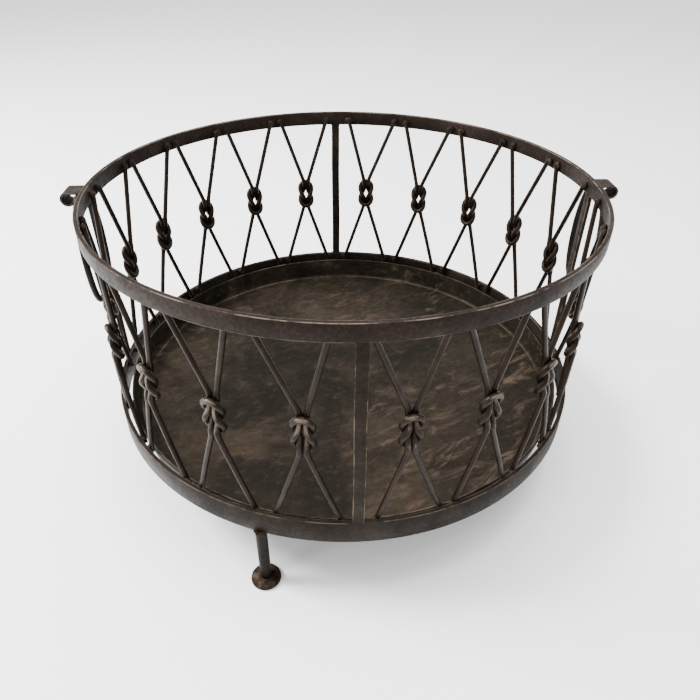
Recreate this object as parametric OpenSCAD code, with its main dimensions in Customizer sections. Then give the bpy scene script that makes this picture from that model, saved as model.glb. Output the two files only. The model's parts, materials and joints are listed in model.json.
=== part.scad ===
// Wrought fire basket: two flat-bar hoops, four uprights and a wall of knotted
// round rods, a dished ash pan welded inside, three round legs on disc feet,
// and an oval drop handle on each side. Millimetres. The origin is on the
// ground under the middle of the basket, +Z is up, and the handles are on X.

/* [Hoops] */
// Outside radius of both hoops
basket_r = 300; // [290:5:320]
// Height of the upper hoop's top edge above the ground
basket_h = 358; // [350:1:366]
// Thickness of the flat bar in the hoops and uprights
bar_t = 5; // [4.6:0.1:5]
// Height of the bar in the upper hoop
top_bar_h = 19; // [17:1:19]
// Height of the bar in the lower hoop
low_bar_h = 30; // [26:1:31]
// Width of the four uprights
upright_w = 12; // [10:1:14]

/* [Knotted rods] */
// Diameter of the round rod
rod_d = 6; // [5:0.5:6]
// Knotted crossings between two uprights
crossings = 5; // [5:1:5]
// Angle from each upright to the first crossing past it, counterclockwise from +X
first_angle = [9.7, 9.9, 8.9, 9.6]; // [8.8:0.1:10.5]
// Angle from one crossing to the next in each quarter, counterclockwise from +X
crossing_step = [17.6, 17.2, 17.7, 16.6]; // [16.5:0.1:17.8]
// Height of the middle of the knots above the ground
knot_z = 229; // [224:1:234]
// Half the spread of a rod's two ends at the upper hoop
upper_spread = 36; // [34:0.5:36]
// Half the spread of a rod's two ends at the lower hoop
lower_spread = 36; // [34:0.5:36]
// How far the upper ends lean in each quarter, counterclockwise from +X
upper_lean = [-6, 0, -8, -7]; // [-8:1:5]
// How far the lower ends lean in each quarter, counterclockwise from +X
lower_lean = [0, 0, 1, 5]; // [-5:1:5]

/* [Pan] */
// Height of the pan's floor above the ground
pan_floor_z = 76; // [74:1:80]
// Height of the pan's rim above the ground
pan_rim_z = 106; // [104:1:108]
// Thickness of the pan's sheet
pan_t = 2.5; // [2:0.5:3]

/* [Legs] */
// Height of the lower hoop's underside above the ground
leg_h = 85; // [82:1:88]
// Diameter of the round legs
leg_d = 12.5; // [12:0.5:14]
// Diameter of the disc feet
foot_d = 34; // [30:1:38]
// Thickness of the disc feet
foot_t = 6.5; // [5:0.5:8]
// Direction of the first leg, seen from above
leg_angle = -110; // [-115:1:-105]

/* [Handles] */
// Diameter of the rod in the drop handles
bail_d = 7.5; // [7:0.5:8]
// Half the width of a drop handle, to the middle of its rod
bail_half_w = 37; // [34:1:40]
// Height of a drop handle, to the middle of its rod
bail_drop = 131; // [124:1:134]
// Width of the strap that holds a drop handle
strap_w = 25; // [22:1:26]
// Thickness of the strap
strap_t = 2.3; // [2:0.1:2.4]
// Outside radius of the curl at the strap's end
curl_r = 8.2; // [8:0.1:8.6]

/* [Hidden] */
$fn = 96;
iron = [0.17, 0.15, 0.14];
rod_iron = [0.2, 0.18, 0.17];
pan_iron = [0.2, 0.17, 0.14];
foot_iron = [0.25, 0.17, 0.13];
quarters = 4;
rod_count = quarters * crossings;
low_top_z = leg_h + low_bar_h;
top_low_z = basket_h - top_bar_h;
inner_r = basket_r - bar_t;

// Knot: the rods' middle lines, in a plane that touches the wall at the crossing
rod_r = rod_d / 2;
end_r = inner_r - rod_r;
knot_r = end_r - 1;
pitch = 3.15;
loop_r = 9.5;
straight = 10;
knot_rise = 20;
weave = 3.4;
kink_v = 22;
kink_w = 6;
leg_steps = [28, 24, 20, 16, 11, 6, 0, -6];
bend_steps = [0, 30, 60, 90];
rod_sides = 8;
upper_end = basket_h - top_bar_h / 2 - knot_z;
lower_end = knot_z - (low_top_z - 9);

// Pan profile
pan_floor_r = 281;
pan_rim_r = 285;
pan_corner_r = 5;
tack_r = 3.5;
tack_z = 101;
tack_bite = 0.3;

// Handle: the pin lies in the crook between the strap's leaf, its top and its curl
slab_z = basket_h - 4.5;
pin_gap = 0.35;
pin_r = bail_d / 2;
pin_x = basket_r + strap_t + pin_r + pin_gap;
pin_z = slab_z - strap_t - pin_r - pin_gap;
pin_half = strap_w / 2 + 0.4;
curl_z = slab_z - curl_r + 0.1;
curl_x = pin_x + sqrt(pow(curl_r + pin_r + pin_gap, 2) - pow(pin_z - curl_z, 2));
bail_r = pin_r - 0.1;
bail_power_top = 1.7;
bail_power_low = 2.4;
bail_rings = 30;
bail_sides = 10;

function two_digits(i) = str(i < 9 ? "0" : "", i + 1);
upper_rods = [for (i = [0 : rod_count - 1]) str("upper_rod_", two_digits(i))];
lower_rods = [for (i = [0 : rod_count - 1]) str("lower_rod_", two_digits(i))];
uprights = ["upright_right", "upright_back", "upright_left", "upright_front"];
legs = ["leg_front", "leg_right", "leg_back"];
feet = ["foot_front", "foot_right", "foot_back"];

// Direction of crossing i, counted counterclockwise from the upright on +X
function crossing_angle(i) =
    let (q = floor(i / crossings)) 90 * q + first_angle[q] + crossing_step[q] * (i % crossings);

// Sideways place of a rod's middle line on its straight leg, at height v
function leg_t(v, slope) =
    v >= kink_v + kink_w ? pitch + slope * (v - kink_v)
    : v >= kink_v - kink_w ? pitch + slope * pow(v - kink_v + kink_w, 2) / (4 * kink_w)
    : v >= straight ? pitch
    : (pitch + loop_r) / 2 - (loop_r - pitch) / 2 * sin(90 * v / straight);

// Outward place of the middle line: behind the other rod's bend, then in front of it
function leg_n(v) = weave * cos(90 * max(min(v, knot_rise), -straight) / straight);

// One half of a rod, from its welded end to the middle of its bend
function half_rod(spread, end_v) =
    let (slope = (spread - pitch) / (end_v - kink_v), end_n = sqrt(end_r * end_r - spread * spread) - knot_r)
    concat([[spread, end_v, end_n]],
        [for (v = leg_steps) [leg_t(v, slope), v, leg_n(v)]],
        [for (a = bend_steps)
            [loop_r * cos(a), -straight - loop_r * sin(a), leg_n(-straight) - weave * sin(a)]]);

function reversed(list) = [for (i = [len(list) - 1 : -1 : 0]) list[i]];
function mirrored(list) = [for (p = list) [-p[0], p[1], p[2]]];

// A whole rod: two legs that lean together, joined at the bend
function whole_rod(spread, lean, end_v) =
    let (left = mirrored(half_rod(spread - lean, end_v)), right = half_rod(spread + lean, end_v))
    concat(left, reversed([for (i = [0 : len(right) - 2]) right[i]]));

function unit(v) = v / norm(v);
function mid_dir(p, i) = unit(p[min(i + 1, len(p) - 1)] - p[max(i - 1, 0)]);

// A round rod of radius r swept along the points p; side is a fixed direction
// that the path never runs along
module sweep(p, r, sides, side) {
    rings = [for (i = [0 : len(p) - 1])
        let (d = mid_dir(p, i), a = unit(side - d * (side * d)), b = cross(d, a))
        [for (k = [0 : sides - 1]) p[i] + r * (cos(360 * k / sides) * a + sin(360 * k / sides) * b)]];
    last = (len(p) - 1) * sides;
    polyhedron(
        points = [for (ring = rings) for (q = ring) q],
        faces = concat(
            [[for (k = [0 : sides - 1]) k]],
            [for (i = [0 : len(p) - 2]) for (k = [0 : sides - 1]) for (half = [0, 1])
                let (a = i * sides + k, b = i * sides + (k + 1) % sides)
                half == 0 ? [a, a + sides, b] : [b, a + sides, b + sides]],
            [[for (k = [0 : sides - 1]) last + sides - 1 - k]]));
}

// A flat bar on edge, bent into a hoop
module hoop(low_z, bar_h) {
    translate([0, 0, low_z]) difference() {
        cylinder(h = bar_h, r = basket_r);
        translate([0, 0, -1]) cylinder(h = bar_h + 2, r = inner_r);
    }
}

module top_hoop() { color(iron) hoop(top_low_z, top_bar_h); }

module bottom_hoop() { color(iron) hoop(leg_h, low_bar_h); }

module upright(i) {
    color(iron) rotate(90 * i) translate([inner_r, -upright_w / 2, low_top_z])
        cube([bar_t - 0.1, upright_w, top_low_z - low_top_z]);
}

// The rod welded to the upper hoop, with its bend at the bottom of the knot
module upper_rod(i) {
    path = whole_rod(upper_spread, upper_lean[floor(i / crossings)], upper_end);
    color(rod_iron) rotate(crossing_angle(i))
        sweep([for (p = path) [knot_r + p[2], p[0], knot_z + p[1]]], rod_r, rod_sides, [1, 0, 0]);
}

// The rod welded to the lower hoop: the same shape, turned over
module lower_rod(i) {
    path = whole_rod(lower_spread, lower_lean[floor(i / crossings)], lower_end);
    color(rod_iron) rotate(crossing_angle(i))
        sweep([for (p = path) [knot_r + lower_n(p), p[0], knot_z - p[1]]], rod_r, rod_sides, [1, 0, 0]);
}

// The lower rod weaves the other way, but its welded ends lie on the same hoop radius
function lower_n(p) = p[1] > kink_v + 2 * kink_w ? p[2] : -p[2];

module ash_pan() {
    color(pan_iron) rotate_extrude($fn = 180) polygon([
        [0, pan_floor_z - pan_t],
        [pan_floor_r + pan_t - pan_corner_r, pan_floor_z - pan_t],
        [pan_floor_r + pan_t - 1.5, pan_floor_z - pan_t + 1.5],
        [pan_floor_r + pan_t, pan_floor_z - pan_t + pan_corner_r],
        [pan_rim_r + pan_t, pan_rim_z],
        [pan_rim_r, pan_rim_z],
        [pan_floor_r, pan_floor_z + pan_t],
        [pan_floor_r - pan_t, pan_floor_z],
        [0, pan_floor_z]]);
}

// Weld tacks that hold the pan in the lower hoop, one midway between crossings
module pan_tacks() {
    wall_r = pan_rim_r + pan_t - (pan_rim_z - tack_z) * (pan_rim_r - pan_floor_r) / (pan_rim_z - pan_floor_z);
    color(iron) for (i = [0 : quarters - 1]) for (k = [1, 3])
        rotate(90 * i + first_angle[i] + crossing_step[i] * (k - 0.5)) translate([wall_r - tack_bite, 0, tack_z])
            rotate([0, 90, 0]) cylinder(h = inner_r - wall_r + 2 * tack_bite, r = tack_r, $fn = 24);
}

module at_leg(i) {
    rotate(leg_angle + 120 * i) translate([basket_r - bar_t / 2, 0, 0]) children();
}

module leg(i) {
    color(iron) at_leg(i) translate([0, 0, foot_t]) cylinder(h = leg_h - foot_t, d = leg_d);
}

module foot(i) {
    rim = 2;
    color(foot_iron) at_leg(i) rotate_extrude() polygon([
        [0, 0], [foot_d / 2 - rim, 0], [foot_d / 2, rim], [foot_d / 2, foot_t - rim],
        [foot_d / 2 - rim, foot_t - 0.6], [leg_d / 2 + 1, foot_t], [0, foot_t]]);
}

// A strap on the hoop's face that runs out over the pin and ends in a curl
module handle_strap(side) {
    slit = 3.4;
    color(iron) rotate(side) translate([0, strap_w / 2, 0]) rotate([90, 0, 0]) difference() {
        union() {
            translate([basket_r, top_low_z, 0]) cube([strap_t, slab_z - top_low_z, strap_w]);
            translate([basket_r, slab_z - strap_t, 0]) cube([curl_x - basket_r, strap_t, strap_w]);
            translate([curl_x, curl_z, 0]) cylinder(h = strap_w, r = curl_r);
        }
        translate([curl_x, curl_z, -1]) cylinder(h = strap_w + 2, r = curl_r - strap_t);
        translate([curl_x, curl_z, -1]) rotate(162) translate([curl_r - 2 * strap_t, -slit / 2, 0])
            cube([2 * strap_t + 1, slit, strap_w + 2]);
    }
}

// Middle line of a drop handle: a straight pin, then a rounded oval that hangs from it
function bail_point(a) =
    let (power = cos(a) > 0 ? bail_power_top : bail_power_low)
    [pin_x,
    sign(sin(a)) * (pin_half + (bail_half_w - pin_half) * pow(abs(sin(a)), 2 / power)),
    pin_z - bail_drop / 2 * (1 - sign(cos(a)) * pow(abs(cos(a)), 2 / power))];

module drop_handle(side) {
    first = 3;
    oval = [for (k = [0 : bail_rings]) bail_point(first + (360 - 2 * first) * k / bail_rings)];
    color(iron) rotate(side) union() {
        sweep(concat([[pin_x, pin_half - 1, pin_z]], oval, [[pin_x, 1 - pin_half, pin_z]]),
            bail_r, bail_sides, [1, 0, 0]);
        translate([pin_x, 0, pin_z]) rotate([90, 0, 0])
            cylinder(h = 2 * pin_half, r = pin_r, center = true);
    }
}

top_hoop();
bottom_hoop();
ash_pan();
pan_tacks();
for (i = [0 : quarters - 1]) upright(i);
for (i = [0 : rod_count - 1]) upper_rod(i);
for (i = [0 : rod_count - 1]) lower_rod(i);
for (i = [0 : 2]) leg(i);
for (i = [0 : 2]) foot(i);
handle_strap(180);  // handle_strap_left
handle_strap(0);  // handle_strap_right
drop_handle(180);  // drop_handle_left
drop_handle(0);  // drop_handle_right
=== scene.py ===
# %% [markdown]
# A wrought-iron fire basket holds burning logs off the ground and lets air in through its wall. It is
# two flat-bar hoops, a wall of round rods knotted in pairs, a pan in the foot, three short legs and a
# drop handle on each side. It could be modelled by eye from nothing, but the engineering model has
# every place and size already. So that model is loaded first as a fixed frame, and each piece below
# is made where the frame says.

import json
import math

import bmesh
import bpy
from mathutils import Matrix, Vector, noise


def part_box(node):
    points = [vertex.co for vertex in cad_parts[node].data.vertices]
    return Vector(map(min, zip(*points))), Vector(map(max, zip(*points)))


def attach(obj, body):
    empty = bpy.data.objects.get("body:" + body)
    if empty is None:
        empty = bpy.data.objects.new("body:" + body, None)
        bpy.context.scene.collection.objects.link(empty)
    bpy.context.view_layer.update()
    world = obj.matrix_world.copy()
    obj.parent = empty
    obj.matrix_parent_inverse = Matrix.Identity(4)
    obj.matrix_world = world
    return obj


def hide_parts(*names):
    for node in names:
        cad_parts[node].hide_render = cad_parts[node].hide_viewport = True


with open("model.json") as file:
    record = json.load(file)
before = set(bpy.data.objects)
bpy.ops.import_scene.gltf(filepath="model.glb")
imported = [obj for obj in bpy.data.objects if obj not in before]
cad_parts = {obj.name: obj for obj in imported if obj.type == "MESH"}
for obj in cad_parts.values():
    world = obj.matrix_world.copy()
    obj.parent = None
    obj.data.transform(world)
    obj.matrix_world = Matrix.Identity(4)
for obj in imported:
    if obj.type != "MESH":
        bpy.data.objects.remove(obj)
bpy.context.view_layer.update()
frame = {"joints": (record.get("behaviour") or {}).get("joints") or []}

# %% [markdown]
# The design is drawn in millimetres and Blender works in metres. The sizes that a smith would read
# off the hoops and the pan could be typed in again, but a number that is kept twice drifts apart. So
# they come from the frame's own boxes. The shape of the knot is in no box, and is repeated further
# down from the design.

# %% Sizes from the frame
MM = 0.001
SAME_PLACE = 0.01 * MM  # points closer than this are one point

top_low, top_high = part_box("top_hoop")
base_low, base_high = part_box("bottom_hoop")
pan_low, pan_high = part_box("ash_pan")
BASKET_R = top_high.x
BAR = 5 * MM
INNER_R = BASKET_R - BAR
TOP_LOW_Z, TOP_Z = top_low.z, top_high.z
LOW_Z, LOW_TOP_Z = base_low.z, base_high.z
print("hoop radius", round(BASKET_R, 4), "basket from", round(LOW_Z, 4), "to", round(TOP_Z, 4))

# %% [markdown]
# Every piece ends in the same way, so the last steps are functions. Doubled points are merged, faces
# are turned outwards, and surfaces are shaded smooth up to a chosen angle. Then the piece is hung
# under the body of the frame that carries it, and the plain solids that it stands for are hidden. A
# Bevel modifier could round the edges, but the bevel operator hands back the faces that it made.
# They are marked here as rubbed, and a finish can read the mark.

# %% Finish a piece
def mesh_from(bm, name):
    bmesh.ops.remove_doubles(bm, verts=bm.verts, dist=SAME_PLACE)
    bmesh.ops.recalc_face_normals(bm, faces=bm.faces)
    mesh = bpy.data.meshes.new(name)
    bm.to_mesh(mesh)
    bm.free()
    return mesh


def round_edges(bm, edges, width):
    """Rounds the edges, and marks the new faces for wear."""
    rubbed = bm.faces.layers.float.new("rubbed")
    made = bmesh.ops.bevel(bm, geom=edges, offset=width, affect="EDGES", segments=2, profile=0.5,
                           material=-1)
    for face in made["faces"]:
        face[rubbed] = 1.0


def finish_piece(name, mesh, finish, body, stands_for, sharp=35):
    """Makes the piece; an edge that bends by more than sharp degrees isn't shaded smooth."""
    for polygon in mesh.polygons:
        polygon.use_smooth = True
    mesh.set_sharp_from_angle(angle=math.radians(sharp))
    piece = bpy.data.objects.new(name, mesh)
    bpy.context.scene.collection.objects.link(piece)
    mesh.materials.append(finish)
    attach(piece, body)
    if stands_for:
        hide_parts(*stands_for)
    return piece


print("a new mesh joins points closer than", SAME_PLACE, "m")

# %% [markdown]
# Finishes come before the pieces, because each piece is given one as it is made. A finish could be
# wired by hand in the shader editor. In a script a material is a small network of nodes, and a few
# helpers keep the wiring short: they add a node with its settings, a colour ramp, a change of range,
# a sum and a mix of two colours.

# %% Helpers for wiring nodes
def add(tree, kind, **settings):
    """Adds a node; a setting that starts with in_ sets that input, or joins it to a socket."""
    node = tree.nodes.new(kind)
    for key, value in settings.items():
        if not key.startswith("in_"):
            setattr(node, key, value)
            continue
        name = key[3:]
        socket = node.inputs[int(name) if name.isdigit() else name.replace("_", " ")]
        if isinstance(value, bpy.types.NodeSocket):
            tree.links.new(value, socket)
        else:
            socket.default_value = value
    return node


def ramp(tree, factor, stops):
    node = add(tree, "ShaderNodeValToRGB", in_Fac=factor)
    elements = node.color_ramp.elements
    while len(elements) < len(stops):
        elements.new(0.5)
    for element, (place, colour) in zip(elements, stops):
        element.position = place
        element.color = (*colour, 1)
    return node.outputs["Color"]


def scaled(tree, value, low, high, new_low, new_high):
    """Eases a value from one range into another, and holds it at the ends."""
    return add(tree, "ShaderNodeMapRange", interpolation_type="SMOOTHSTEP", in_Value=value,
               in_From_Min=low, in_From_Max=high, in_To_Min=new_low, in_To_Max=new_high).outputs["Result"]


def clamped(tree, value):
    return add(tree, "ShaderNodeClamp", in_Value=value).outputs["Result"]


def maths(tree, operation, first, second):
    return add(tree, "ShaderNodeMath", operation=operation, in_0=first, in_1=second).outputs[0]


def blend_values(tree, share, first, second):
    """The given share of the first value and the rest of the second."""
    return maths(tree, "ADD", maths(tree, "MULTIPLY", first, share),
                 maths(tree, "MULTIPLY", second, 1 - share))


def blend_colours(tree, mask, first, second):
    """A Mix node has a pair of sockets for each kind of data, and its colours are inputs 6 and 7."""
    first, second = [colour if isinstance(colour, bpy.types.NodeSocket) else (*colour, 1)
                     for colour in (first, second)]
    node = add(tree, "ShaderNodeMix", data_type="RGBA", in_0=mask, in_6=first, in_7=second)
    return node.outputs[2]


def object_place(tree, axis):
    """One of the object coordinates X, Y and Z, in metres."""
    place = add(tree, "ShaderNodeTexCoord").outputs["Object"]
    return add(tree, "ShaderNodeSeparateXYZ", in_Vector=place).outputs[axis]


def object_noise(tree, scale, detail, roughness, longer=0.0, turn=0.0, distortion=0.0):
    """A noise on object coordinates; marks may be some times longer along a turned direction."""
    place = add(tree, "ShaderNodeTexCoord").outputs["Object"]
    if longer:
        place = add(tree, "ShaderNodeMapping", vector_type="TEXTURE", in_Vector=place,
                    in_Rotation=(0, 0, math.radians(turn)), in_Scale=(longer, 1, 1)).outputs["Vector"]
    return add(tree, "ShaderNodeTexNoise", in_Vector=place, in_Scale=scale, in_Detail=detail,
               in_Roughness=roughness, in_Distortion=distortion).outputs["Fac"]


def new_group(name, inputs, outputs):
    group = bpy.data.node_groups.new(name, "ShaderNodeTree")
    for label, value in inputs:
        socket = group.interface.new_socket(label, in_out="INPUT", socket_type="NodeSocketFloat")
        socket.default_value = value
    for label in outputs:
        group.interface.new_socket(label, in_out="OUTPUT", socket_type="NodeSocketFloat")
    return group, group.nodes.new("NodeGroupInput"), group.nodes.new("NodeGroupOutput")


print("wiring helpers ready")

# %% [markdown]
# Hot-worked iron has a skin of scale: broad patches of lighter and darker brown, and a finer fleck.
# The skin could be wired again in each material. Every finish needs it at its own scale, so it is a
# node group with two scales as inputs. It puts out a tone for the colour and a height for the bump.

# %% Group: the skin of worked iron
iron_skin, skin_in, skin_out = new_group(
    "iron_skin", [("Patch Scale", 18.0), ("Fleck Scale", 260.0)], ["Tone", "Height"])
patches = object_noise(iron_skin, skin_in.outputs["Patch Scale"], 5, 0.62)
flecks = object_noise(iron_skin, skin_in.outputs["Fleck Scale"], 3, 0.7)
iron_skin.links.new(blend_values(iron_skin, 0.6, patches, flecks), skin_out.inputs["Tone"])
iron_skin.links.new(blend_values(iron_skin, 0.4, patches, flecks), skin_out.inputs["Height"])
print(iron_skin.name, "has", len(iron_skin.nodes), "nodes")

# %% [markdown]
# Rust comes up where the scale has broken: ragged blooms with a sharp edge. A painted mask would
# need a map for each piece. A noise that is cut off at a level gives the same ragged patches with
# none, and an input says how much of the surface they cover.

# %% Group: blooms of rust
BLOOM_EDGE = 9.0  # the higher, the more sharply a bloom ends

rust_bloom, rust_in, rust_out = new_group("rust_bloom", [("Scale", 30.0), ("Cover", 0.35)], ["Mask"])
blooms = object_noise(rust_bloom, rust_in.outputs["Scale"], 8, 0.72, distortion=0.6)
cut_off = maths(rust_bloom, "SUBTRACT", 1.0, rust_in.outputs["Cover"])
over_cut = maths(rust_bloom, "SUBTRACT", blooms, cut_off)
rust_bloom.links.new(clamped(rust_bloom, maths(rust_bloom, "MULTIPLY", over_cut, BLOOM_EDGE)),
                     rust_out.inputs["Mask"])
print(rust_bloom.name, "has", len(rust_bloom.nodes), "nodes")

# %% [markdown]
# Edges that hands and logs rub go bright, in broken stretches. The Bevel and Pointiness nodes can
# find edges, but slowly, or only where there are many points. The faces that rounded each edge are
# already marked as rubbed, so the mask reads that mark. The same mark is put on the faces of a knot
# that look up and out, and on a band inside the pan's corner, and there it is a painted highlight. A
# rim with no such faces is found by its height instead; only the pan uses this, and its light rim
# line is a painted highlight too. A noise breaks them all up.

# %% Group: edges worn bright, and painted highlights
NO_RIM = 10.0  # metres up: no piece is so high, so no rim is found

worn_edge_and_highlight, edge_mask_in, edge_mask_out = new_group(
    "worn_edge_and_highlight", [("Rubbed", 0.0), ("Level", NO_RIM), ("Depth", MM), ("Breaks", 24.0)], ["Mask"])
above = maths(worn_edge_and_highlight, "SUBTRACT", object_place(worn_edge_and_highlight, "Z"), edge_mask_in.outputs["Level"])
on_rim = clamped(worn_edge_and_highlight, maths(worn_edge_and_highlight, "DIVIDE", above, edge_mask_in.outputs["Depth"]))
wear_and_highlight_places = maths(worn_edge_and_highlight, "MAXIMUM", on_rim, edge_mask_in.outputs["Rubbed"])
breaks = scaled(worn_edge_and_highlight, object_noise(worn_edge_and_highlight, edge_mask_in.outputs["Breaks"], 7, 0.72),
                0.42, 0.58, 0.08, 1.0)
worn_edge_and_highlight.links.new(maths(worn_edge_and_highlight, "MULTIPLY", wear_and_highlight_places, breaks), edge_mask_out.inputs["Mask"])
print(worn_edge_and_highlight.name, "has", len(worn_edge_and_highlight.nodes), "nodes")

# %% [markdown]
# One function builds each iron finish from those groups. Dark, mid and light are the three browns
# that the skin's tone runs through. Bare iron would be fully metallic, but this iron is under scale
# and soot, so Metallic stays at 0. The gloss is low and tinted brown. It is the same all over a
# piece, so it is set on the shader's own sockets and not wired.

# %% The iron finish
SHEEN_TINT = (1.0, 0.84, 0.7)
# The colour of worn edges; on the knots it is also the colour of a painted highlight.
WORN_AND_HIGHLIGHT = (0.11, 0.085, 0.066)
RELIEF = 0.5 * MM  # height of the bump's marks
DARK_TO, MID_AT, LIGHT_FROM = 0.38, 0.5, 0.62  # places of the three browns along the tone


def iron_finish(name, dark, mid, light, patch=18.0, fleck=260.0, rust=0.3, rust_scale=30.0,
                rust_colour=(0.04, 0.02, 0.011), rough=(0.38, 0.58), shine=0.06, bump=0.3, worn_and_highlight=WORN_AND_HIGHLIGHT,
                level=NO_RIM, depth=MM):
    material = bpy.data.materials.new(name)
    material.use_nodes = True
    material.diffuse_color = (*mid, 1)
    tree = material.node_tree
    shader = tree.nodes["Principled BSDF"]
    skin = add(tree, "ShaderNodeGroup", node_tree=iron_skin, in_Patch_Scale=patch, in_Fleck_Scale=fleck)
    tone = skin.outputs["Tone"]
    colour = ramp(tree, tone, [(DARK_TO, dark), (MID_AT, mid), (LIGHT_FROM, light)])
    blooms = add(tree, "ShaderNodeGroup", node_tree=rust_bloom, in_Scale=rust_scale, in_Cover=rust)
    colour = blend_colours(tree, blooms.outputs["Mask"], colour, rust_colour)
    # The wear mark also carries painted highlights, on the knots and along the pan's corner.
    rubbed = add(tree, "ShaderNodeAttribute", attribute_name="rubbed").outputs["Fac"]
    edges = add(tree, "ShaderNodeGroup", node_tree=worn_edge_and_highlight, in_Rubbed=rubbed, in_Level=level,
                in_Depth=depth)
    colour = blend_colours(tree, edges.outputs["Mask"], colour, worn_and_highlight)
    relief = add(tree, "ShaderNodeBump", in_Strength=bump, in_Distance=RELIEF,
                 in_Height=skin.outputs["Height"])
    tree.links.new(colour, shader.inputs["Base Color"])
    tree.links.new(scaled(tree, tone, 0.36, 0.64, rough[1], rough[0]), shader.inputs["Roughness"])
    tree.links.new(relief.outputs["Normal"], shader.inputs["Normal"])
    shader.inputs["Specular IOR Level"].default_value = shine
    shader.inputs["Specular Tint"].default_value = (*SHEEN_TINT, 1)
    return material


print("worn iron is", WORN_AND_HIGHLIGHT, "and sheen is", SHEEN_TINT)

# %% [markdown]
# Each kind of stock has weathered in its own way. The rods are glossier and browner than the flat
# bar, the welds are coarse and speckled, and the feet have rusted most, since they stand on wet
# ground. One finish could cover them all, but then the parts wouldn't stand apart.

# %% Finishes for flat bar
hoop_iron = iron_finish(
    "Hoop_Iron", dark=(0.0060, 0.0039, 0.0031), mid=(0.0105, 0.0071, 0.0059),
    light=(0.0211, 0.0147, 0.0123), patch=14, rust=0.36)
low_hoop_iron = iron_finish(
    "Low_Hoop_Iron", dark=(0.0043, 0.0031, 0.0024), mid=(0.0078, 0.0058, 0.0046),
    light=(0.0149, 0.0114, 0.0090), patch=16, rust=0.36, worn_and_highlight=(0.055, 0.043, 0.034))
upright_iron = iron_finish(
    "Upright_Iron", dark=(0.0057, 0.0039, 0.0030), mid=(0.0104, 0.0076, 0.0058),
    light=(0.0199, 0.0147, 0.0112), patch=24, rust=0.36)
strap_iron = iron_finish(
    "Strap_Iron", dark=(0.0095, 0.0069, 0.0054), mid=(0.0166, 0.0126, 0.0100),
    light=(0.0308, 0.0238, 0.0201), patch=50, rust=0.32)
print("flat bar finishes made")

# %% Finishes for round bar, welds and feet
rod_iron = iron_finish(
    "Rod_Iron", dark=(0.0036, 0.0021, 0.0013), mid=(0.0070, 0.0041, 0.0026),
    light=(0.0143, 0.0086, 0.0056), patch=45, fleck=400, rust=0.32, rust_scale=60, rough=(0.24, 0.44),
    shine=0.11, bump=0.35)
handle_iron = iron_finish(
    "Handle_Iron", dark=(0.0047, 0.0035, 0.0028), mid=(0.0085, 0.0063, 0.0052),
    light=(0.0170, 0.0130, 0.0108), patch=30, rust=0.25, rough=(0.32, 0.5))
leg_iron = iron_finish(
    "Leg_Iron", dark=(0.0026, 0.0018, 0.0013), mid=(0.0049, 0.0037, 0.0027),
    light=(0.0090, 0.0067, 0.0052), patch=30, rust=0.3)
weld_iron = iron_finish(
    "Weld_Iron", dark=(0.0048, 0.0033, 0.0024), mid=(0.0112, 0.0077, 0.0054),
    light=(0.0302, 0.0202, 0.0137), patch=90, fleck=500, rust=0.36, rust_scale=120,
    rust_colour=(0.0426, 0.0195, 0.0080), rough=(0.5, 0.75), bump=0.5)
foot_iron = iron_finish(
    "Foot_Rust", dark=(0.0047, 0.0030, 0.0020), mid=(0.0166, 0.0108, 0.0072),
    light=(0.052, 0.04, 0.032), patch=70, fleck=330, rust=0.42, rust_scale=80,
    rust_colour=(0.0284, 0.0152, 0.0080), rough=(0.55, 0.8), bump=0.7)
print("round bar, weld and foot finishes made")

# %% [markdown]
# The pan's floor is the surface seen most. On the real basket it has patches of olive and brown,
# blotches of soot, fine grit, and lighter streaks where ash was swept across; here it is also made
# darker towards one side. A painted texture could show them all. Noises are used instead, because
# they stay sharp at any distance: the streaks are a noise pulled long in one direction and kept to
# some areas by a broader noise.

# %% The pan's finish
SOOT_AND_SIDE_DARK, GRIT, ASH = (0.0032, 0.003, 0.0022), (0.032, 0.024, 0.017), (0.06, 0.042, 0.03)

# The light line along the rim's top, found by level and depth, and the one along the floor's inner corner
# are painted highlights in this worn colour.
pan_iron = iron_finish(
    "Pan_Iron", dark=(0.0060, 0.0046, 0.0029), mid=(0.0111, 0.0086, 0.0057),
    light=(0.0214, 0.0159, 0.0108), patch=11, fleck=150, rust=0.42, rust_scale=22,
    rust_colour=(0.0213, 0.0108, 0.0056), rough=(0.34, 0.62), shine=0.08, bump=0.6,
    worn_and_highlight=(0.06, 0.05, 0.038), level=pan_high.z - 0.7 * MM, depth=0.5 * MM)


def soil(material):
    """Darkens in sooty blotches and towards the right, then lays grit and swept ash, over the material's
    colour.
    """
    tree = material.node_tree
    base_colour = tree.nodes["Principled BSDF"].inputs["Base Color"]
    colour = base_colour.links[0].from_socket
    blotches = scaled(tree, object_noise(tree, 8.5, 6, 0.66, distortion=0.8), 0.4, 0.58, 1.0, 0.0)
    # The floor goes darker towards its right side, +X.
    right_side = scaled(tree, object_place(tree, "X"), 0.02, 0.2, 0.0, 0.65)
    soot_and_side_dark = maths(tree, "MAXIMUM", blotches, right_side)
    colour = blend_colours(tree, maths(tree, "MULTIPLY", soot_and_side_dark, 0.85), colour, SOOT_AND_SIDE_DARK)
    grit = object_noise(tree, 120.0, 8, 0.8, longer=1.8, turn=20, distortion=0.7)
    colour = blend_colours(tree, scaled(tree, grit, 0.5, 0.68, 0.0, 0.5), colour, GRIT)
    streaks = object_noise(tree, 46.0, 9, 0.74, longer=3.2, turn=28, distortion=0.9)
    streaks = scaled(tree, streaks, 0.51, 0.68, 0.0, 1.0)
    swept = scaled(tree, object_noise(tree, 7.0, 4, 0.6), 0.45, 0.62, 0.0, 1.0)
    ash = maths(tree, "MULTIPLY", streaks, swept)
    colour = blend_colours(tree, maths(tree, "MULTIPLY", ash, 0.8), colour, ASH)
    tree.links.new(colour, base_colour)


soil(pan_iron)
print(pan_iron.name, "has", len(pan_iron.node_tree.nodes), "nodes")

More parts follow.
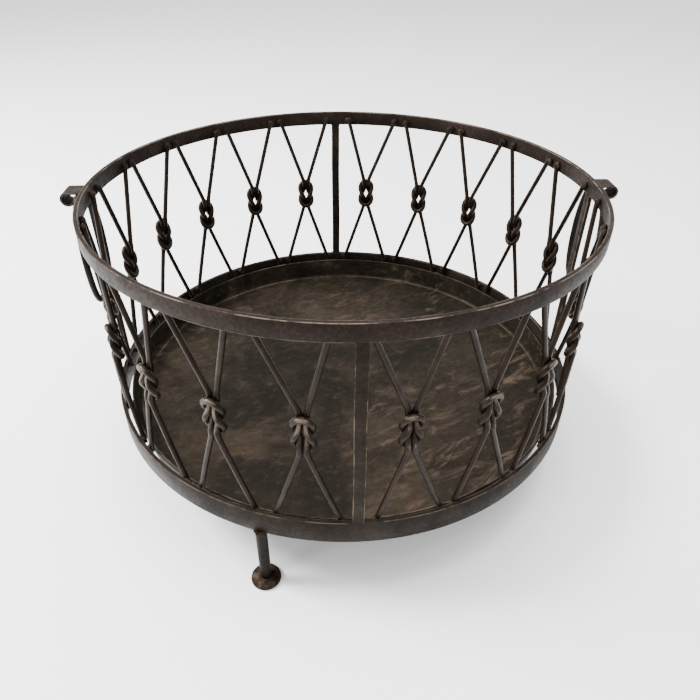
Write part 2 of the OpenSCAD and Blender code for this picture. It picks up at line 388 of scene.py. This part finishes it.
# %% [markdown]
# A hoop is flat bar bent on edge and welded into a ring. It could be made by cutting a smaller
# cylinder out of a larger one. Spinning the bar's section is simpler: four points go once round the
# upright axis. The long edges are then bevelled, because a real bar's corners are never sharp and
# the small round catches light.

# %% Hoops
HOOP_STEPS = 288
LEVEL = 1e-6  # metres: an edge whose ends differ by less in height, or in distance out, runs round


def spin_round(bm, section, steps, closed=False):
    """Spins a line of (radius, height) points about the upright axis; closed joins its two ends."""
    points = [bm.verts.new((radius, 0, level)) for radius, level in section]
    edges = [bm.edges.new(pair) for pair in zip(points, points[1:])]
    if closed:
        edges.append(bm.edges.new((points[-1], points[0])))
    bmesh.ops.spin(bm, geom=points + edges, cent=(0, 0, 0), axis=(0, 0, 1), angle=math.tau, steps=steps,
                   use_merge=True, use_duplicate=False)
    bmesh.ops.remove_doubles(bm, verts=bm.verts, dist=SAME_PLACE)


def rise_of(edge):
    """How far apart in height the two ends of an edge are."""
    return abs(edge.verts[0].co.z - edge.verts[1].co.z)


def hoop(name, low, high, finish, node):
    bm = bmesh.new()
    section = [(INNER_R, low), (BASKET_R, low), (BASKET_R, high), (INNER_R, high)]
    spin_round(bm, section, HOOP_STEPS, closed=True)
    corners = [e for e in bm.edges if rise_of(e) < LEVEL
               and abs(e.verts[0].co.xy.length - e.verts[1].co.xy.length) < LEVEL]
    round_edges(bm, corners, 0.75 * MM)
    mesh = mesh_from(bm, name)
    print(name, len(mesh.polygons), "faces")
    return finish_piece(name, mesh, finish, "basket", [node])


hoop("Top_Hoop", TOP_LOW_Z, TOP_Z, hoop_iron, "top_hoop")
hoop("Low_Hoop", LOW_Z, LOW_TOP_Z, low_hoop_iron, "bottom_hoop")

# %% [markdown]
# Four uprights of narrower flat bar stand between the hoops. Such a bar could be a section that is
# extruded, but a cube is already a bar once it is stretched to the size of its plain solid. Its long
# edges are bevelled. A few cuts along it let the bar waver a little, as bar that was straightened by
# eye does.

# %% Uprights
CUTS = 15  # along one upright
WAVER = 0.35 * MM


def upright(name, node):
    low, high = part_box(node)
    size = high - low
    stretch = Matrix.Translation((low + high) / 2) @ Matrix.Diagonal((*size, 1))
    bm = bmesh.new()
    bmesh.ops.create_cube(bm, size=1, matrix=stretch)
    long_edges = [e for e in bm.edges if rise_of(e) > size.z / 2]
    bmesh.ops.subdivide_edges(bm, edges=long_edges, cuts=CUTS, use_grid_fill=True)
    round_edges(bm, [e for e in bm.edges if rise_of(e) > size.z / 40], 0.7 * MM)
    across = Vector((-low.y, low.x, 0)).normalized() if abs(low.x) > abs(low.y) else Vector((1, 0, 0))
    for vert in bm.verts:
        along = (vert.co.z - low.z) / size.z
        vert.co += across * (WAVER * math.sin(math.pi * along) * math.sin(7 * along + low.x * 9))
    mesh = mesh_from(bm, name)
    return finish_piece(name, mesh, upright_iron, "basket", [node])


for side in ("front", "right", "back", "left"):
    upright("Upright_" + side.title(), "upright_" + side)
print("uprights made")

# %% [markdown]
# The wall is twenty crossings. At each one a rod from the upper hoop and a rod from the lower hoop
# are bent into hairpins that hook through each other, which makes a flat knot. The line could be
# pulled into place by hand on a curve, but two rods that pass within a hair of each other need a
# rule. So the middle line of a rod is worked out in the knot's own directions: across, up, and out
# from the wall. It is the line that the design uses, with more points.

# %% Sizes of a knot, in millimetres from its middle unless said otherwise
ROD_R = 3 * MM  # in metres
CROSSINGS = 5  # in each quarter of the wall
QUARTER_FIRST = (9.7, 9.9, 8.9, 9.6)  # degrees from a quarter's upright to its first crossing
QUARTER_STEP = (17.6, 17.2, 17.7, 16.6)  # degrees from one crossing to the next
KNOT_R = INNER_R / MM - 4  # from the basket's axis to a knot's middle
KNOT_Z = 229  # height of a knot's middle
LOOP = 9.5  # radius of a hairpin's bend
STRAIGHT = 10  # from the middle to the bend; over twice this a leg comes in from LOOP to PITCH
PITCH = 3.15  # how far across a leg is where it leaves the knot
WEAVE = 3.4  # how far out a leg is as it passes the other rod
RISE = 20  # where a leg has crossed to the same distance inwards
KINK, KINK_HALF = 22, 6  # where a leg turns to its lean, and half the length of that turn
KINK_TOP = KINK + KINK_HALF
KNOT_STEPS = 26  # points on a leg from the turn's top to the bend
END_R = KNOT_R + 1  # from the basket's axis to a rod's end
UPPER = {"spread": 36, "lean": (-6, 0, -8, -7), "end": TOP_Z / MM - 9.5 - KNOT_Z, "way": 1}
LOWER = {"spread": 36, "lean": (0, 0, 1, 5), "end": KNOT_Z - (LOW_TOP_Z / MM - 9), "way": -1}
print("knots are", round(KNOT_R, 1), "mm from the axis and", KNOT_Z, "mm up")

# %% [markdown]
# Half a rod is one end, one leg and half of the bend. Both halves could be written out, but the
# other is its mirror image, except that one leg may spread a little more than its partner, because
# no smith bends both alike. So one function makes a half, and it is used twice. The lower rod is
# the upper one turned over: it points down and weaves the other way.

# %% The line of one rod
def leg_across(level, slope):
    if level >= KINK_TOP:
        return PITCH + slope * (level - KINK)
    if level >= KINK - KINK_HALF:
        return PITCH + slope * (level - KINK + KINK_HALF) ** 2 / (4 * KINK_HALF)
    if level >= STRAIGHT:
        return PITCH
    return (PITCH + LOOP) / 2 - (LOOP - PITCH) / 2 * math.sin(math.pi / 2 * level / STRAIGHT)


def leg_out(level):
    return WEAVE * math.cos(math.pi / 2 * max(min(level, RISE), -STRAIGHT) / STRAIGHT)


def out_at_hoop(across):
    """How far out a rod's end is, to meet the round hoop when it is so far across."""
    return math.sqrt(END_R ** 2 - across ** 2) - KNOT_R


def half_rod(spread, end):
    slope = (spread - PITCH) / (end - KINK)
    end_out = out_at_hoop(spread)
    line = [(spread, end, end_out)]
    for share in (0.75, 0.5, 0.25):
        level = KINK_TOP + share * (end - KINK_TOP)
        line.append((leg_across(level, slope), level, -WEAVE + share * (end_out + WEAVE)))
    for step in range(KNOT_STEPS):
        level = KINK_TOP - step * (KINK_TOP + STRAIGHT) / KNOT_STEPS
        line.append((leg_across(level, slope), level, leg_out(level)))
    for degrees in range(0, 91, 10):
        turn = math.radians(degrees)
        line.append((LOOP * math.cos(turn), -STRAIGHT - LOOP * math.sin(turn), -WEAVE * math.sin(turn)))
    return line


def lower_out(across, up, out):
    """The lower rod's weave: turned over in the knot, and straight from there to the hoop."""
    if up < KINK_TOP + KINK_HALF:
        return -out
    share = (up - KINK_TOP) / (LOWER["end"] - KINK_TOP)
    return WEAVE + share * (out_at_hoop(across) - WEAVE)


def crossing_angle(quarter, count):
    """Where a quarter's crossing number count is round the wall; a half is between two crossings."""
    return math.radians(90 * quarter + QUARTER_FIRST[quarter] + QUARTER_STEP[quarter] * count)


def rod_line(number, rod):
    """Places of a whole rod's middle line, in metres, for crossing number 0 to 19."""
    quarter, count = divmod(number, CROSSINGS)
    lean = rod["lean"][quarter]
    left = [(-across, up, out) for across, up, out in half_rod(rod["spread"] - lean, rod["end"])]
    right = half_rod(rod["spread"] + lean, rod["end"])
    turn = Matrix.Rotation(crossing_angle(quarter, count), 3, "Z")
    places = []
    for across, up, out in left + right[-2::-1]:
        if rod is LOWER:
            out = lower_out(across, up, out)
        places.append(turn @ Vector((KNOT_R + out, across, KNOT_Z + rod["way"] * up)) * MM)
    return places


print("a rod has", len(rod_line(0, UPPER)), "places")

# %% [markdown]
# A bent bar could be a circle extruded from point to point. A curve with a round bevel is quicker:
# the curve carries the line, and the bevel gives it thickness and closed ends. Hand-forged bar is
# never quite even, so its thickness wavers by a few hundredths along the line. A rod is also fatter
# inside its knot, where it was pulled tight while hot. The curve is then made a mesh, so that the
# piece is plain geometry.

# %% A round bar along a line
UNEVEN = 0.035
KNOT_FATTER = 0.17
KNOT_REACH, KNOT_FADE = 27, 6  # millimetres from the knot's middle: where the swelling ends, and its taper
HIGHLIGHT_FACING = 0.8  # how squarely a face must look up and out to get the painted highlight, from 0 to 1


def knot_swell(place):
    """How much fatter a rod is at a place on it."""
    away = abs(place.z / MM - KNOT_Z)
    return KNOT_FATTER * max(0.0, min(1.0, (KNOT_REACH - away) / KNOT_FADE))


def paint_knot_highlight(mesh):
    """Gives a painted highlight to the faces of a knot that look out from the wall and up."""
    rubbed = mesh.attributes.new("rubbed", "FLOAT", "FACE")
    for polygon in mesh.polygons:
        outward = Vector((polygon.center.x, polygon.center.y, 0)).normalized()
        facing_up_out = polygon.normal.dot((outward + Vector((0, 0, 0.9))).normalized())
        if knot_swell(polygon.center) > 0.1 and facing_up_out > HIGHLIGHT_FACING:
            rubbed.data[polygon.index].value = min(1.0, (facing_up_out - HIGHLIGHT_FACING) * 7)


def round_bar(name, places, radius, finish, body, stands_for, closed=False, seed=0.0, swell=None):
    curve = bpy.data.curves.new(name, "CURVE")
    curve.dimensions = "3D"
    curve.bevel_depth = radius
    curve.bevel_resolution = 4
    curve.use_fill_caps = not closed
    spline = curve.splines.new("POLY")
    spline.points.add(len(places) - 1)
    spline.use_cyclic_u = closed
    for point, place in zip(spline.points, places):
        point.co = (*place, 1)
        waver = UNEVEN * noise.noise(place * 60 + Vector((seed, 0, 0)))
        point.radius = 1 + waver + (swell(place) if swell else 0)
    holder = bpy.data.objects.new(name + "_line", curve)
    bpy.context.scene.collection.objects.link(holder)
    bpy.context.view_layer.update()
    mesh = bpy.data.meshes.new_from_object(holder.evaluated_get(bpy.context.evaluated_depsgraph_get()))
    mesh.materials.clear()
    mesh.name = name
    # A knot's faces that look up and out are given a painted highlight, in the wear mark.
    if swell:
        paint_knot_highlight(mesh)
    bpy.data.objects.remove(holder)
    return finish_piece(name, mesh, finish, body, stands_for, sharp=60)


print("a rod is up to", 1 + KNOT_FATTER, "times as thick inside a knot")

# %% [markdown]
# Forty rods make the wall, two at each crossing. One rod could be copied round with an array, but
# the quarters differ in spacing and lean, and each rod wavers in its own way. So a loop makes every
# rod from its own line, with a seed of its own for the waver.

# %% Forty knotted rods
for number in range(4 * CROSSINGS):
    label = f"{number + 1:02d}"
    round_bar("Upper_Rod_" + label, rod_line(number, UPPER), ROD_R, rod_iron, "basket",
              ["upper_rod_" + label], seed=number, swell=knot_swell)
    round_bar("Lower_Rod_" + label, rod_line(number, LOWER), ROD_R, rod_iron, "basket",
              ["lower_rod_" + label], seed=number + 50, swell=knot_swell)
print("rods made")

# %% [markdown]
# Where bar meets bar there is a small bead of weld. A bead could be sculpted, but it is only a few
# millimetres long. A ball pressed flat and made lumpy by noise looks the same, with fewer than a
# hundred faces. The beads along one hoop are one piece.

# %% Weld beads
LUMPY = 0.6


def add_bead(bm, place, size, seed):
    """Adds a bead; size is half its width around the hoop, up, and out from the axis."""
    around = math.atan2(place.y, place.x)
    fit = Matrix.Translation(place) @ Matrix.Rotation(around, 4, "Z")
    ball = bmesh.ops.create_icosphere(bm, subdivisions=2, radius=1)
    for vert in ball["verts"]:
        lump = 1 + LUMPY * noise.noise(vert.co * 1.7 + Vector((seed * 3.1, seed, 0)))
        vert.co = fit @ (Vector((vert.co.x * size[2], vert.co.y * size[0], vert.co.z * size[1])) * lump)


def welds(name, beads, stands_for=()):
    bm = bmesh.new()
    for seed, (place, size) in enumerate(beads):
        add_bead(bm, place, size, seed)
    mesh = mesh_from(bm, name)
    print(name, len(beads), "beads")
    return finish_piece(name, mesh, weld_iron, "basket", list(stands_for), sharp=180)


def pulled_in(place, radius):
    """The same place, moved to the given distance from the axis."""
    flat = Vector((place.x, place.y, 0)).normalized() * radius
    return Vector((flat.x, flat.y, place.z))


UPPER_BEAD = (5.2 * MM, 4.4 * MM, 3.0 * MM)
LOWER_BEAD = (5.0 * MM, 3.4 * MM, 2.6 * MM)
upper_beads, lower_beads = [], []
for number in range(4 * CROSSINGS):
    for end in (0, -1):
        head, foot_end = rod_line(number, UPPER)[end], rod_line(number, LOWER)[end]
        upper_beads.append((pulled_in(head, INNER_R - 2.6 * MM) + Vector((0, 0, -1.5 * MM)), UPPER_BEAD))
        lower_beads.append((pulled_in(foot_end, INNER_R - 1.6 * MM) + Vector((0, 0, 5.5 * MM)), LOWER_BEAD))
welds("Upper_Rod_Welds", upper_beads)
welds("Lower_Rod_Welds", lower_beads)

UPRIGHT_BEAD = (3.6 * MM, 2.2 * MM, 2.2 * MM)
upright_beads = []
for turn in range(4):
    out = Matrix.Rotation(turn * math.pi / 2, 3, "Z")
    for level in (LOW_TOP_Z, TOP_LOW_Z):
        for across in (-4 * MM, 3.5 * MM):
            place = out @ Vector((BASKET_R - 2.8 * MM, across, level))
            upright_beads.append((place, UPRIGHT_BEAD))
welds("Upright_Welds", upright_beads)

# %% [markdown]
# The pan is pressed sheet: a nearly flat floor, a rounded corner, a steep wall and a rim that was
# dressed over. It could be a disc, extruded and given thickness by a modifier. Its rim and corner
# are round, so the whole section is drawn as a line with arcs, from the middle outwards and back,
# and spun. Heat leaves a floor slightly uneven, so its points are then moved by a soft noise. A thin
# band inside the corner is given a painted highlight, put in the wear mark.

# %% Pan
PAN_SHEET = 2.5 * MM
FLOOR_R, RIM_R = 281 * MM, 285 * MM
FLOOR_Z = pan_low.z + PAN_SHEET
CORNER = 5 * MM
PAN_STEPS = 180
FLOOR_WAVE = 0.7 * MM
WALL_WAVE = 0.0012  # as a share of the distance from the axis
CORNER_HIGHLIGHT = 1.5  # over 1, so that the painted highlight in the corner is fuller than the wear on other edges


def arc(centre, radius, turns):
    """Points round a centre, one for each angle in degrees."""
    return [(centre[0] + radius * math.cos(math.radians(turn)),
             centre[1] + radius * math.sin(math.radians(turn))) for turn in turns]


def pan_section():
    corner_centre = (FLOOR_R - CORNER, FLOOR_Z + CORNER)
    rim_centre = (RIM_R + PAN_SHEET / 2, pan_high.z - PAN_SHEET / 2)
    outer_centre = (corner_centre[0] - 0.2 * MM, corner_centre[1])
    floor = [(tenth / 10 * (FLOOR_R - CORNER), FLOOR_Z) for tenth in range(10)]
    corner = arc(corner_centre, CORNER, range(-90, 1, 18))
    rim = arc(rim_centre, PAN_SHEET / 2, range(180, -1, -30))
    outer = arc(outer_centre, CORNER + PAN_SHEET, range(0, -91, -30))
    return floor + corner + rim + outer + [(0, FLOOR_Z - PAN_SHEET)]


def ash_pan():
    bm = bmesh.new()
    spin_round(bm, pan_section(), PAN_STEPS)
    for vert in bm.verts:
        if vert.co.z > FLOOR_Z - 0.1 * MM and vert.co.xy.length < FLOOR_R - CORNER:
            vert.co.z += FLOOR_WAVE * noise.noise(vert.co * 11)
        elif vert.co.z > FLOOR_Z + CORNER:
            swell = 1 + WALL_WAVE * noise.noise(vert.co * 9)
            vert.co.x, vert.co.y = vert.co.x * swell, vert.co.y * swell
    # A thin band inside the corner gets a painted highlight.
    rubbed = bm.faces.layers.float.new("rubbed")
    for face in bm.faces:
        centre = face.calc_center_median()
        if FLOOR_R - CORNER < centre.xy.length < FLOOR_R and 0.2 * MM < centre.z - FLOOR_Z < 1.4 * MM:
            face[rubbed] = CORNER_HIGHLIGHT
    mesh = mesh_from(bm, "Ash_Pan")
    print("pan:", len(mesh.polygons), "faces")
    return finish_piece("Ash_Pan", mesh, pan_iron, "basket", ["ash_pan"], sharp=50)


ash_pan()

# %% [markdown]
# Eight tacks of weld hold the pan in the lower hoop, each between two crossings. Their plain solids
# could be shown as they are, but the other welds are lumpy metal. So the bead helper makes them too,
# a little longer than the rest.

# %% Tacks that hold the pan
TACK_R, TACK_Z = 291.2 * MM, 101 * MM
TACK_BEAD = (6.5 * MM, 3.6 * MM, 4.2 * MM)

tack_beads = []
for quarter in range(4):
    for count in (0.5, 2.5):
        a = crossing_angle(quarter, count)
        tack_beads.append((Vector((TACK_R * math.cos(a), TACK_R * math.sin(a), TACK_Z)), TACK_BEAD))
welds("Pan_Welds", tack_beads, ["pan_tacks"])

# %% [markdown]
# A leg is a length of heavier round bar under the lower hoop, with a ring of beads round its top. It
# stands on a thick disc. A cylinder does for the leg. For the disc it would be too sharp, because its
# edge is worn round and its top is slightly domed, so its section is spun.

# %% Legs and feet
LEG_SIDES, FOOT_STEPS = 40, 48
FOOT_PITS = 0.35 * MM
LEG_BEAD, LEG_BEADS, LEG_BEAD_R = (2.6 * MM, 1.6 * MM, 2.6 * MM), 8, 5.2 * MM


def middle(node):
    low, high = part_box(node)
    return (low + high) / 2


def leg(name, node):
    low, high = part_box(node)
    centre = middle(node)
    radius = (high.x - low.x) / 2
    bm = bmesh.new()
    bmesh.ops.create_cone(bm, cap_ends=True, segments=LEG_SIDES, radius1=radius, radius2=radius,
                          depth=high.z - low.z, matrix=Matrix.Translation(centre))
    caps = [e for e in bm.edges if rise_of(e) < LEVEL]
    bmesh.ops.bevel(bm, geom=caps, offset=0.4 * MM, affect="EDGES", segments=1, profile=0.5, material=-1)
    mesh = mesh_from(bm, name)
    return finish_piece(name, mesh, leg_iron, "basket", [node])


def foot(name, node):
    low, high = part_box(node)
    centre = middle(node)
    radius, top = (high.x - low.x) / 2, high.z
    bm = bmesh.new()
    section = [(0, 0), (radius - 1.6 * MM, 0), (radius - 0.4 * MM, 0.5 * MM), (radius, 1.8 * MM),
               (radius - 0.2 * MM, 3.6 * MM), (radius - 1.4 * MM, 5.2 * MM), (radius * 0.75, 5.9 * MM),
               (radius * 0.5, top - 0.15 * MM), (0, top)]
    spin_round(bm, section, FOOT_STEPS)
    for vert in bm.verts:
        if vert.co.z > 0.2 * MM:
            vert.co.z -= FOOT_PITS * abs(noise.noise(vert.co * 130 + centre * 7))
    bmesh.ops.translate(bm, verts=bm.verts, vec=(centre.x, centre.y, 0))
    mesh = mesh_from(bm, name)
    return finish_piece(name, mesh, foot_iron, "basket", [node], sharp=60)


leg_beads = []
for side in ("front", "right", "back"):
    leg("Leg_" + side.title(), "leg_" + side)
    foot("Foot_" + side.title(), "foot_" + side)
    base = middle("leg_" + side)
    for step in range(LEG_BEADS):
        a = step * math.tau / LEG_BEADS
        place = Vector((base.x + LEG_BEAD_R * math.cos(a), base.y + LEG_BEAD_R * math.sin(a),
                        LOW_Z - 0.6 * MM))
        leg_beads.append((place, LEG_BEAD))
welds("Leg_Welds", leg_beads)

# %% [markdown]
# Each drop handle hangs in a strap. The strap starts flat on the hoop, turns out over the handle's
# pin and ends in a rolled curl. It could be cut from a block with Booleans. It is made here as a
# smith makes it, from flat strip: its middle line is drawn in one plane and pulled sideways to the
# strap's width, the strip is given its thickness, and its rim is softened.

# %% Handle straps
STRAP_W, STRAP_T, CURL_R = 25 * MM, 2.3 * MM, 8.2 * MM
STRAP_STRIPS = 6
STRAP_BEND = 3.2 * MM  # radius of the turn at the leaf's top
LEAF_SHORT = 4.5 * MM  # how far below the strap's top the flat leaf ends


def strap_line():
    """Middle line of the right-hand strap, as (out, up) points."""
    low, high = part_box("handle_strap_right")
    leaf_x = low.x + STRAP_T / 2
    top = high.z - STRAP_T / 2 - 0.05 * MM
    curl = (high.x - CURL_R, high.z - CURL_R)
    turn = (leaf_x + STRAP_BEND, top - STRAP_BEND)
    line = [(leaf_x, low.z + quarter / 4 * (high.z - low.z - LEAF_SHORT)) for quarter in range(5)]
    line += arc(turn, STRAP_BEND, range(165, 89, -15))
    line += [(turn[0] + quarter / 4 * (curl[0] - turn[0]), top) for quarter in (1, 2, 3)]
    return line + arc(curl, CURL_R - STRAP_T / 2, range(90, -179, -12))


def handle_strap(name, side, node):
    bm = bmesh.new()
    row = [bm.verts.new((out, -STRAP_W / 2, up)) for out, up in strap_line()]
    edges = [bm.edges.new(pair) for pair in zip(row, row[1:])]
    for _ in range(STRAP_STRIPS):
        pulled = bmesh.ops.extrude_edge_only(bm, edges=edges)["geom"]
        edges = [g for g in pulled if isinstance(g, bmesh.types.BMEdge)]
        edges = [e for e in edges if all(v in pulled for v in e.verts)]
        bmesh.ops.translate(bm, verts=[g for g in pulled if isinstance(g, bmesh.types.BMVert)],
                            vec=(0, STRAP_W / STRAP_STRIPS, 0))
    bmesh.ops.recalc_face_normals(bm, faces=bm.faces)
    # The strip moves by half its thickness first, so that its middle ends up on the line.
    for vert, normal in [(v, v.normal.copy()) for v in bm.verts]:
        vert.co += normal * STRAP_T / 2
    bmesh.ops.solidify(bm, geom=list(bm.faces) + list(bm.edges) + list(bm.verts), thickness=STRAP_T)
    bmesh.ops.recalc_face_normals(bm, faces=bm.faces)
    rim = [e for e in bm.edges if len(e.link_faces) == 2 and e.calc_face_angle() > math.radians(60)]
    round_edges(bm, rim, 0.45 * MM)
    bmesh.ops.rotate(bm, verts=bm.verts, cent=(0, 0, 0), matrix=Matrix.Rotation(math.radians(side), 3, "Z"))
    mesh = mesh_from(bm, name)
    print(name, len(mesh.polygons), "faces")
    return finish_piece(name, mesh, strap_iron, "basket", [node])


handle_strap("Handle_Strap_Right", 0, "handle_strap_right")
handle_strap("Handle_Strap_Left", 180, "handle_strap_left")

# %% [markdown]
# A drop handle is one round bar bent into an oval, with a straight stretch, its pin, that lies under
# the strap's flat top. The oval is fuller in its lower half than in its upper half. A plain ellipse
# would be the same in both, so a formula with a power is used: a higher power is a squarer oval.
# The round bar helper makes the handle, closed into a loop.

# %% Drop handles
BAIL_R = 3.75 * MM
PIN_HALF = 12.9  # half the straight stretch, in millimetres
BAIL_HALF, BAIL_DROP = 37, 131  # half the oval's width and the whole of its height, in millimetres
BAIL_STEPS = 96
UPPER_POWER, LOWER_POWER = 1.7, 2.4


def eased(value, power):
    """A sine or cosine, bent to the power of the oval and with its sign kept."""
    return math.copysign(abs(value) ** (2 / power), value)


def bail_line(side):
    """Middle line of a handle, from one end of its pin round to the other."""
    joint = next(j for j in frame["joints"] if j["child"] == "right_handle")
    pin_x, pin_z = joint["pos_m"][0] / MM, joint["pos_m"][2] / MM
    turn = Matrix.Rotation(math.radians(side), 3, "Z")
    places = []
    for step in range(BAIL_STEPS + 1):
        # The first and last angles are a hair to either side of the top, where the pin's ends are.
        a = math.tau * step / BAIL_STEPS * 0.9999 + 0.0003
        power = UPPER_POWER if math.cos(a) > 0 else LOWER_POWER
        pin_side = math.copysign(PIN_HALF, math.sin(a))
        out = pin_side + (BAIL_HALF - PIN_HALF) * eased(math.sin(a), power)
        up = pin_z - BAIL_DROP / 2 * (1 - eased(math.cos(a), power))
        places.append(turn @ Vector((pin_x, out, up)) * MM)
    return places


for name, side, body in (("Right", 0, "right_handle"), ("Left", 180, "left_handle")):
    round_bar("Drop_Handle_" + name, bail_line(side), BAIL_R, handle_iron, body,
              ["drop_handle_" + name.lower()], closed=True, seed=side)
print("handles made")

# %% [markdown]
# The basket stands on a plain pale floor under soft light, as in a studio: a bright surround, a soft
# lamp high on the left, a weak one lower on the left towards the front, and a broad one above. A
# sun lamp would be simpler, but its hard shadows hide the knots. The floor and lamps aren't part of
# the object.

# %% Floor and light
WORLD_STRENGTH = 1.45

floor_material = bpy.data.materials.new("Studio_Floor")
floor_material.use_nodes = True
floor_shader = floor_material.node_tree.nodes["Principled BSDF"]
floor_shader.inputs["Base Color"].default_value = (0.95, 0.95, 0.95, 1)
floor_shader.inputs["Roughness"].default_value = 0.9
bm = bmesh.new()
bmesh.ops.create_grid(bm, x_segments=1, y_segments=1, size=12)
floor = bpy.data.objects.new("Studio_Floor", mesh_from(bm, "Studio_Floor"))
floor.data.materials.append(floor_material)
bpy.context.scene.collection.objects.link(floor)

world = bpy.data.worlds.new("Studio")
world.use_nodes = True
surround = world.node_tree.nodes["Background"]
surround.inputs["Color"].default_value = (1, 1, 1, 1)
surround.inputs["Strength"].default_value = WORLD_STRENGTH
bpy.context.scene.world = world


def soft_lamp(name, place, aim, size, watts):
    lamp = bpy.data.lights.new(name, "AREA")
    lamp.shape = "DISK"
    lamp.size = size
    lamp.energy = watts
    holder = bpy.data.objects.new(name, lamp)
    holder.location = place
    holder.rotation_mode = "QUATERNION"
    holder.rotation_quaternion = (Vector(aim) - Vector(place)).to_track_quat("-Z", "Y")
    bpy.context.scene.collection.objects.link(holder)


soft_lamp("Lamp_High_Left", (-2.2, 0.35, 2.1), (0, 0, 0.1), 1.2, 250)
soft_lamp("Lamp_Front_Left", (-1.9, -1.5, 1.0), (0, 0, 0.2), 0.8, 22)
soft_lamp("Lamp_Above", (0.3, 0.2, 3.0), (0, 0, 0), 2.4, 120)
print("lamps:", len(bpy.data.lights))

# %% [markdown]
# The camera stands a little left of the front upright, about 0.63 m up, and looks down into the
# basket. It could be aimed with a Track To constraint, but a small roll is wanted too. So its three
# directions are worked out from its angles, and turned as one about the basket's axis.

# %% Camera
CAMERA_TURN = math.radians(2.9)
CAMERA_OUT, CAMERA_UP = 704.3 * MM, 626.6 * MM
SENSOR_WIDTH = 36  # millimetres
LENS_IN_WIDTHS = 0.886143
PITCH_DOWN, YAW, ROLL = math.radians(36.02), math.radians(-0.674254), 0.0108

camera_data = bpy.data.cameras.new("Camera")
camera_data.sensor_width = SENSOR_WIDTH
camera_data.lens = SENSOR_WIDTH * LENS_IN_WIDTHS
camera_data.clip_start = 0.01
camera_data.clip_end = 50
camera = bpy.data.objects.new("Camera", camera_data)
bpy.context.scene.collection.objects.link(camera)
bpy.context.scene.camera = camera
forward = Vector((-math.sin(YAW) * math.cos(PITCH_DOWN), math.cos(YAW) * math.cos(PITCH_DOWN),
                  -math.sin(PITCH_DOWN)))
sideways = Vector((math.cos(YAW), math.sin(YAW), 0))
upwards = sideways.cross(forward)
right = math.cos(ROLL) * sideways + math.sin(ROLL) * upwards
up = -math.sin(ROLL) * sideways + math.cos(ROLL) * upwards
round_basket = Matrix.Rotation(-CAMERA_TURN, 3, "Z")
axes = Matrix((right, up, -forward)).transposed()
camera.rotation_mode = "QUATERNION"
camera.rotation_quaternion = (round_basket @ axes).to_quaternion()
camera.location = round_basket @ Vector((0, -CAMERA_OUT, CAMERA_UP))
print("camera at", [round(c, 4) for c in camera.location])
